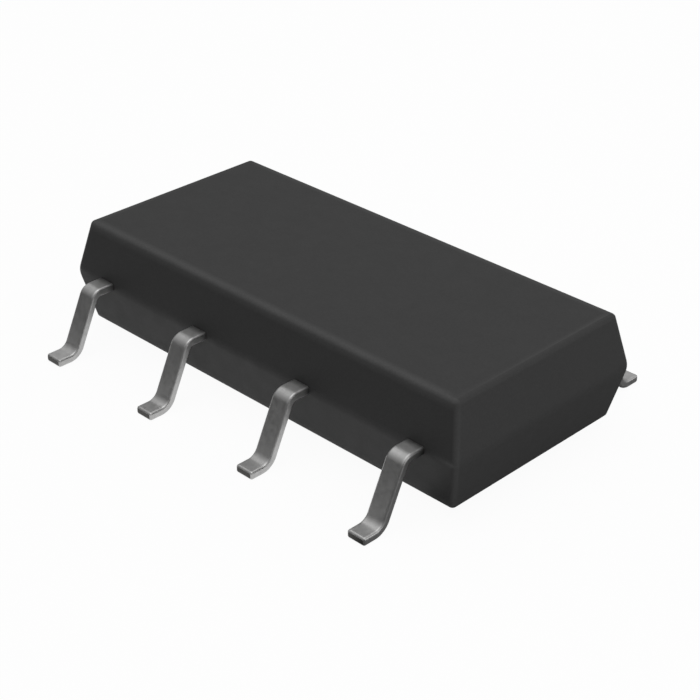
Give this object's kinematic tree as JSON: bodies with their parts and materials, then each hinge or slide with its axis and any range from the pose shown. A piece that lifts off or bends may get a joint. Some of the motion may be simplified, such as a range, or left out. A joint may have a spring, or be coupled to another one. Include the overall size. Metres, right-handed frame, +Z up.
{
  "type": "solid-state relay",
  "caption": "Black surface-mount solid-state relay: drafted moulded body with tin-plated gull-wing leads along both long sides, to be soldered to a circuit board.",
  "frame": {"origin": "centre of the footprint, on the plane of the board under the feet", "axes": "+X along the body from lead 1 towards lead 4, +Y from the input leads to the output leads, +Z up from the board"},
  "size_m": [0.0094, 0.007, 0.0021],
  "materials": {
    "moulded_epoxy": "charcoal black moulding compound, fine matt grain",
    "tin_plate": "satin tin plate over copper alloy",
    "led_die": "amber compound semiconductor",
    "silicon": "blue-grey silicon",
    "die_attach": "filled adhesive, pale grey",
    "gold_wire": "drawn gold wire",
    "clear_gel": "clear silicone gel"
  },
  "bodies": {
    "root": {"moulded_body": "moulded_epoxy", "lead_1": "tin_plate", "lead_2": "tin_plate", "lead_3": "tin_plate", "lead_4": "tin_plate", "lead_5": "tin_plate", "lead_6": "tin_plate", "lead_7": "tin_plate", "lead_8": "tin_plate", "led_chip_a": "led_die", "led_attach_a": "die_attach", "led_wire_a": "gold_wire", "photodiode_array_a": "silicon", "array_attach_a": "die_attach", "gel_dome_a": "clear_gel", "source_link_a": "gold_wire", "mosfet_a1": "silicon", "mosfet_a2": "silicon", "mosfet_attach_a1": "die_attach", "mosfet_attach_a2": "die_attach", "gate_wire_a1": "gold_wire", "gate_wire_a2": "gold_wire", "source_wire_a1": "gold_wire", "source_wire_a2": "gold_wire", "led_chip_b": "led_die", "led_attach_b": "die_attach", "led_wire_b": "gold_wire", "photodiode_array_b": "silicon", "array_attach_b": "die_attach", "gel_dome_b": "clear_gel", "source_link_b": "gold_wire", "mosfet_b1": "silicon", "mosfet_b2": "silicon", "mosfet_attach_b1": "die_attach", "mosfet_attach_b2": "die_attach", "gate_wire_b1": "gold_wire", "gate_wire_b2": "gold_wire", "source_wire_b1": "gold_wire", "source_wire_b2": "gold_wire"}
  },
  "joints": []
}
